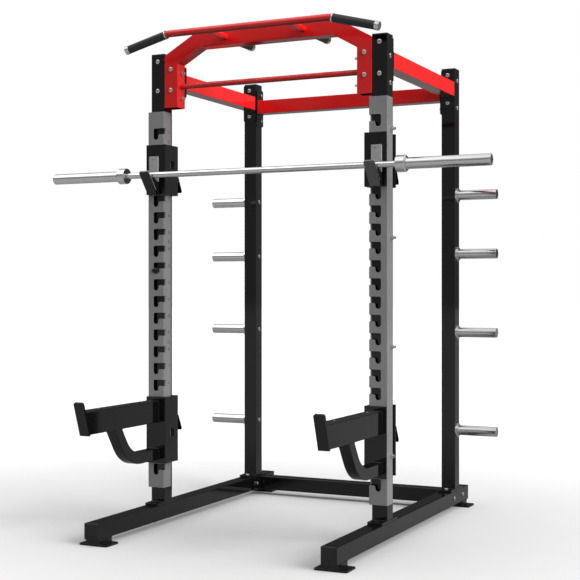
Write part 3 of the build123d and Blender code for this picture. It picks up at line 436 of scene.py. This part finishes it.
def add_bead(shape, corners, radius):
    """Rippled weld bead round a closed loop of corners."""
    points = []
    for first, second in zip(corners, corners[1:] + corners[:1]):
        steps = max(2, round((second - first).length / (WELD_STEP * MM)))
        points += [first.lerp(second, step / steps) for step in range(steps)]
    across = (corners[1] - corners[0]).cross(corners[2] - corners[1]).normalized()
    rings = []
    for index, point in enumerate(points):
        along = (points[(index + 1) % len(points)] - points[index - 1]).normalized()
        out = along.cross(across)
        size = radius * (0.8 + WELD_RIPPLE * abs(math.sin(index * WELD_RIPPLE_RATE))
                         + random.uniform(-WELD_UNEVEN, WELD_UNEVEN))
        rings.append([
            shape.verts.new(point + size * (math.cos(turn) * out + math.sin(turn) * across))
            for turn in (math.radians(60 * corner) for corner in range(6))])
    for ring, following in zip(rings, rings[1:] + rings[:1]):
        for corner in range(6):
            after = (corner + 1) % 6
            shape.faces.new((ring[corner], ring[after], following[after], following[corner]))


def add_welds():
    """Weld beads where tubes and plates of the frame, the spotter arms and the cups meet."""
    random.seed(4)
    for side, sign in SIDES:
        inner, outer = sign * INNER_X, sign * OUTER_X
        loops = [level_loop((inner, outer), (y, y + TUBE), BASE_TOP) for y in (0.0, REAR_Y)]
        loops += [level_loop((inner, outer), y, z) for y in FEET_Y for z in (FOOT_TOP, RAIL_BOTTOM)]
        loops += [front_loop((inner, outer), y, SIDE_BEAM_Z) for y in BEAM_ENDS_Y]
        loops.append(side_loop(sign * CROSS_END_X, (REAR_Y, REAR_Y + TUBE), REAR_BEAM_Z))
        loops.append(side_loop(sign * CROSS_END_X, CROSS_Y, (RAIL_BOTTOM, RAIL_TOP)))
        arm_x = tuple(sign * x for x in ARM_X)
        arm_loops = [front_loop(arm_x, BRACKET_FRONT, z) for z in (ARM_Z, BRACE_Z)]
        arm_loops.append(level_loop(arm_x, BRACE_TOP_Y, ARM_Z[0]))
        cup_loops = [front_loop(arm_x, BRACKET_FRONT, HOOK_Z)]
        bar_loops = [cross_loop(sign * LOW_BAR_END, TUBE / 2, LOW_BAR_Z, LOW_BAR_R)]
        for name, body, slot, part_loops in (
                (f"{side}_frame_welds", "frame", "black_paint", loops),
                (f"{side}_lower_bar_weld", "frame", "red_paint", bar_loops),
                (f"{side}_arm_welds", side + "_arm", "black_paint", arm_loops),
                (f"{side}_cup_welds", side + "_cup", "black_paint", cup_loops)):
            shape = bmesh.new()
            for loop in part_loops:
                add_bead(shape, loop, WELD_SIZE * MM)
            piece(name, shape, body, MATERIALS[slot])


def add_sleeve_rings():
    """Snap ring in the outer face of each barbell sleeve."""
    for side, sign in SIDES:
        shape = bmesh.new()
        end = sign * SLEEVE_END
        rings = []
        for step in range(RING_STEPS):
            turn = math.radians(RING_START + RING_STEP * step)
            rings.append([shape.verts.new(place(end + sign * out, BAR_Y + radius * math.cos(turn),
                                                BAR_Z + radius * math.sin(turn)))
                          for out, radius in RING_PROFILE])
        for ring, following in zip(rings, rings[1:]):
            for first, second, third, fourth in zip(ring, ring[1:], following[1:], following):
                shape.faces.new((first, second, third, fourth))
        shape.faces.new(rings[0])
        shape.faces.new(rings[-1])
        piece(f"{side}_sleeve_snap_ring", shape, side + "_sleeve", MATERIALS["zinc"])


def add_slot_plug():
    """Black oval-headed plug seated in one slot of the left channel."""
    shape = bmesh.new()
    rings = []
    for y, half_width, half_height in PLUG_PROFILE:
        rings.append([shape.verts.new(place(PLUG_X + half_width * math.cos(turn), y,
                                            PLUG_Z + half_height * math.sin(turn)))
                      for turn in (math.radians(7.5 * step) for step in range(48))])
    for ring, following in zip(rings, rings[1:]):
        for step in range(48):
            after = (step + 1) % 48
            shape.faces.new((ring[step], ring[after], following[after], following[step]))
    shape.faces.new(rings[0])
    shape.faces.new(rings[-1])
    piece("left_slot_plug", shape, "frame", MATERIALS["black_paint"])


def add_numbers():
    """Slot numbers printed on the inner side of each channel."""
    writer = bpy.data.curves.new("writer", "FONT")
    writer.size = NUMBER_SIZE * MM
    writer.extrude = INK_HALF_DEPTH * MM
    writer.align_x = writer.align_y = "CENTER"
    stand_in = bpy.data.objects.new("writer", writer)
    bpy.context.scene.collection.objects.link(stand_in)
    for side, sign in SIDES:
        shape = bmesh.new()
        for number in range(1, SLOT_COUNT + 1):
            writer.body = str(number)
            bpy.context.view_layer.update()
            digits = bpy.data.meshes.new_from_object(stand_in)
            slot_top = FIRST_SLOT_TOP + SLOT_PITCH * (number - 1)
            centre = place(sign * (CHANNEL_SIDE_X - INK_HALF_DEPTH),
                           NUMBER_Y, slot_top - NUMBER_DROP)
            for vertex in digits.vertices:
                along, up, out = vertex.co
                vertex.co = centre + Vector((-sign * out, -sign * along, up))
            shape.from_mesh(digits)
            bpy.data.meshes.remove(digits)
        piece(f"{side}_slot_numbers", shape, "frame", INK, smooth=False)
    bpy.data.objects.remove(stand_in)
    bpy.data.curves.remove(writer)


# ------------------------------------------------------------------------ stage
def make_floor():
    """Pale floor with a painted shadow, darker near the cage and brighter away from it, and darker
    as a source of light on the cage.
    """
    bpy.ops.mesh.primitive_plane_add(size=120.0)
    floor = bpy.context.object
    floor.name = "floor"
    material = bpy.data.materials.new("floor_white")
    g = Graph(material)
    away = g.add("ShaderNodeVectorMath", {0: g.point()}, operation="LENGTH").outputs["Value"]
    # Painted shadow: the floor's own tone darkens towards the cage.
    out_of_painted_shadow = g.ranged(away, *FLOOR_PAINTED_SHADOW_FADE, 0.0, 1.0)
    g.link(Base_Color=g.mixed(out_of_painted_shadow, shade(FLOOR_PAINTED_SHADOW_NEAR), shade(FLOOR_FAR)))
    g.shader.inputs["Roughness"].default_value = 0.9
    g.shader.inputs["Specular IOR Level"].default_value = 0.0
    rearward = g.add("ShaderNodeSeparateXYZ", {0: g.point()}).outputs[1]
    outward_tone = g.ranged(away, *FLOOR_MIRRORED_FADE, FLOOR_MIRRORED_NEAR, FLOOR_MIRRORED_FAR)
    rear_tone = g.ranged(rearward, *FLOOR_MIRRORED_REAR_FADE, 1.0, FLOOR_MIRRORED_REAR)
    mirrored = g.math("MULTIPLY", outward_tone, rear_tone)
    rays = g.add("ShaderNodeLightPath").outputs
    unseen = g.mixed(rays["Is Glossy Ray"], shade(FLOOR_DIFFUSE), mirrored)
    dim = g.add("ShaderNodeBsdfDiffuse", {"Color": unseen})
    blend = g.add("ShaderNodeMixShader",
                  {0: rays["Is Camera Ray"], 1: dim.outputs[0], 2: g.shader.outputs[0]})
    g.put(blend.outputs[0], g.tree.nodes["Material Output"].inputs["Surface"])
    floor.data.materials.append(material)


def make_world():
    """White to the camera; as light, brightest overhead, dimmer in front and on the right."""
    world = bpy.data.worlds.new("studio")
    bpy.context.scene.world = world
    world.use_nodes = True
    tree = world.node_tree
    nodes, links = tree.nodes, tree.links
    direction = nodes.new("ShaderNodeTexCoord").outputs["Generated"]
    rays = nodes.new("ShaderNodeLightPath").outputs

    def term(towards, low, high, to_low, to_high):
        facing = nodes.new("ShaderNodeVectorMath")
        facing.operation = "DOT_PRODUCT"
        links.new(direction, facing.inputs[0])
        facing.inputs[1].default_value = towards
        ranged = nodes.new("ShaderNodeMapRange")
        ranged.interpolation_type = "SMOOTHSTEP"
        for key, value in (("From Min", low), ("From Max", high),
                           ("To Min", to_low), ("To Max", to_high)):
            ranged.inputs[key].default_value = value
        links.new(facing.outputs["Value"], ranged.inputs["Value"])
        return ranged.outputs[0]

    def combined(operation, first, second):
        made = nodes.new("ShaderNodeMath")
        made.operation = operation
        links.new(first, made.inputs[0])
        links.new(second, made.inputs[1])
        return made.outputs[0]

    glow = combined("MULTIPLY", term(*SOFTBOX), term(*SOFTBOX_FADE))
    glow = combined("MULTIPLY", glow, rays["Is Glossy Ray"])
    for values in WORLD_TERMS:
        glow = combined("ADD", glow, term(*values))
    white = nodes["Background"]
    white.inputs["Color"].default_value = (1, 1, 1, 1)
    white.inputs["Strength"].default_value = 1.0
    light = nodes.new("ShaderNodeBackground")
    links.new(glow, light.inputs["Strength"])
    blend = nodes.new("ShaderNodeMixShader")
    links.new(rays["Is Camera Ray"], blend.inputs[0])
    links.new(light.outputs[0], blend.inputs[1])
    links.new(white.outputs[0], blend.inputs[2])
    links.new(blend.outputs[0], nodes["World Output"].inputs["Surface"])


def make_key():
    """Large soft key light from the right of the cage, without a mirror image of its own."""
    data = bpy.data.lights.new("key", "SUN")
    data.energy = KEY_STRENGTH
    data.angle = math.radians(KEY_SPREAD)
    lamp = bpy.data.objects.new("key", data)
    lamp.visible_glossy = False
    lamp.rotation_euler = (-Vector(KEY_FROM)).to_track_quat("-Z", "Y").to_euler()
    bpy.context.scene.collection.objects.link(lamp)


def make_camera():
    """Level camera, turned about Z only."""
    data = bpy.data.cameras.new("camera")
    data.lens = CAMERA_LENS
    data.sensor_width = 36.0
    data.shift_y = CAMERA_SHIFT
    data.clip_end = 200.0
    camera = bpy.data.objects.new("camera", data)
    camera.location = CAMERA_PLACE
    camera.rotation_euler = (math.radians(90), 0, CAMERA_TURN)
    bpy.context.scene.collection.objects.link(camera)
    bpy.context.scene.camera = camera


make_camera()
make_floor()
make_world()
make_key()
bpy.context.scene.view_settings.view_transform = "Standard"
bpy.context.scene.view_settings.look = "None"

paint_nodes()
for side, _ in SIDES:
    # Black paint on the slot walls is painted shade inside the slots.
    repaint(side + "_slot_channel", in_slot_wall)
    repaint(side + "_cup_fixings", is_web_screw)
    repaint(side + "_arm_fixings", is_web_screw)
repaint("floor_frame_bolts", is_base_plate_bolt)
# The right cup's lip front gets a lighter grey coat as a painted reflection.
repaint("right_cup_bracket", is_lip_front, LIP_PAINTED_REFLECTION_COAT)
add_welds()
add_sleeve_rings()
add_slot_plug()
add_numbers()
